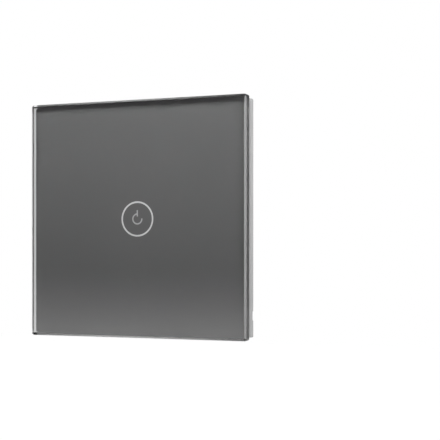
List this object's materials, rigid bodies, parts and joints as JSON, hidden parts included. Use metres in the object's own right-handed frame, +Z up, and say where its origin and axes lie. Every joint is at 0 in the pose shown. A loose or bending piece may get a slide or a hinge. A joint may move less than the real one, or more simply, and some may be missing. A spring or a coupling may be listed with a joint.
{
  "type": "touch light switch",
  "caption": "Flush wall switch with a square glass touch panel on a grey frame, and a round stepped black housing with screw terminals behind the wall.",
  "frame": {"origin": "on the wall's face, at the centre of the panel and of the two box screws", "axes": "+X to the right seen from the front, +Y into the wall, +Z up; the glass faces -Y"},
  "size_m": [0.086, 0.034, 0.086],
  "materials": {
    "clear_glass": "polished toughened glass",
    "grey_print": "grey ink behind the glass",
    "pale_ink": "translucent white ink",
    "black_tape": "foam tape",
    "grey_frame": "fine moulded satin",
    "zinc_steel": "zinc plated",
    "spring_steel": "bright spring strip",
    "screw_steel": "nickel plated",
    "black_gloss": "glossy moulded",
    "black_matte": "matte moulded",
    "clear_plastic": "clear moulded",
    "board_green": "solder mask",
    "chip_black": "moulded epoxy",
    "lamp_white": "lens and phosphor",
    "passive_brown": "fired body",
    "brass": "stamped",
    "relay_blue": "moulded case",
    "bobbin_white": "moulded",
    "copper_wire": "enamelled",
    "soft_iron": "plated",
    "film_yellow": "moulded box",
    "bare_aluminium": "drawn can",
    "black_rubber": "bung",
    "disc_blue": "dipped coating",
    "fuse_brown": "moulded",
    "ferrite": "sintered"
  },
  "bodies": {
    "base": {"mounting_plate": "zinc_steel", "catch_springs": "spring_steel", "catch_rivets": "zinc_steel", "plate_screws": "screw_steel", "body_shell": "black_gloss", "terminal_cover": "black_matte", "module_cover": "black_matte", "module_screws": "screw_steel", "light_guide": "clear_plastic", "touch_spring": "spring_steel", "touch_board": "board_green", "touch_chip": "chip_black", "indicator_leds": "lamp_white", "sensor_passives": "passive_brown", "board_header": "black_matte", "header_pins": "brass", "power_board": "board_green", "terminal_block": "black_matte", "terminal_contacts": "brass", "relay_base": "black_matte", "relay_case": "relay_blue", "relay_bobbin": "bobbin_white", "relay_winding": "copper_wire", "relay_yoke": "soft_iron", "relay_hinge_spring": "spring_steel", "relay_contact": "brass", "relay_pins": "brass", "film_capacitor": "film_yellow", "storage_capacitor": "bare_aluminium", "capacitor_seal": "black_rubber", "varistor": "disc_blue", "fuse": "fuse_brown", "rectifier": "chip_black", "choke_core": "ferrite", "choke_winding": "copper_wire", "driver_transistor": "chip_black", "component_leads": "screw_steel"},
    "panel": {"glass_panel": "clear_glass", "glass_print": "grey_print", "touch_ring": "pale_ink", "power_mark": "pale_ink", "bond_tape": "black_tape", "panel_carrier": "grey_frame"},
    "terminal_screw_1": {"terminal_screw_1": "screw_steel"},
    "terminal_screw_2": {"terminal_screw_2": "screw_steel"},
    "terminal_screw_3": {"terminal_screw_3": "screw_steel"},
    "terminal_cage_1": {"terminal_cage_1": "zinc_steel"},
    "terminal_cage_2": {"terminal_cage_2": "zinc_steel"},
    "terminal_cage_3": {"terminal_cage_3": "zinc_steel"},
    "armature": {"relay_armature": "soft_iron", "relay_leaf": "brass"}
  },
  "joints": [
    {"name": "panel_release", "type": "slide", "parent": "base", "child": "panel", "axis": [0, -1, 0], "range_m": [0, 0.025], "deforming": ["catch_springs"]},
    {"name": "screw_turn_1", "type": "hinge", "parent": "base", "child": "terminal_screw_1", "pos_m": [-0.005, 0.0134, 0.01862], "axis": [0, -1, 0], "range_deg": [0, 1735.2]},
    {"name": "screw_turn_2", "type": "hinge", "parent": "base", "child": "terminal_screw_2", "pos_m": [0, 0.0134, 0.01862], "axis": [0, -1, 0], "range_deg": [0, 1735.2]},
    {"name": "screw_turn_3", "type": "hinge", "parent": "base", "child": "terminal_screw_3", "pos_m": [0.005, 0.0134, 0.01862], "axis": [0, -1, 0], "range_deg": [0, 1735.2]},
    {"name": "cage_rise_1", "type": "slide", "parent": "base", "child": "terminal_cage_1", "axis": [0, 1, 0], "range_m": [0, 0.0024]},
    {"name": "cage_rise_2", "type": "slide", "parent": "base", "child": "terminal_cage_2", "axis": [0, 1, 0], "range_m": [0, 0.0024]},
    {"name": "cage_rise_3", "type": "slide", "parent": "base", "child": "terminal_cage_3", "axis": [0, 1, 0], "range_m": [0, 0.0024]},
    {"name": "armature_tilt", "type": "hinge", "parent": "base", "child": "armature", "pos_m": [0.001, 0.01745, -0.003], "axis": [0, 0, 1], "range_deg": [0, 4.5], "stiffness_Nm_per_rad": 0.03, "springref_deg": -5.73, "deforming": ["relay_hinge_spring"]}
  ],
  "couplings": [
    {"joint": "screw_turn_1", "follows": "cage_rise_1", "rad_per_m": 12566},
    {"joint": "screw_turn_2", "follows": "cage_rise_2", "rad_per_m": 12566},
    {"joint": "screw_turn_3", "follows": "cage_rise_3", "rad_per_m": 12566}
  ]
}
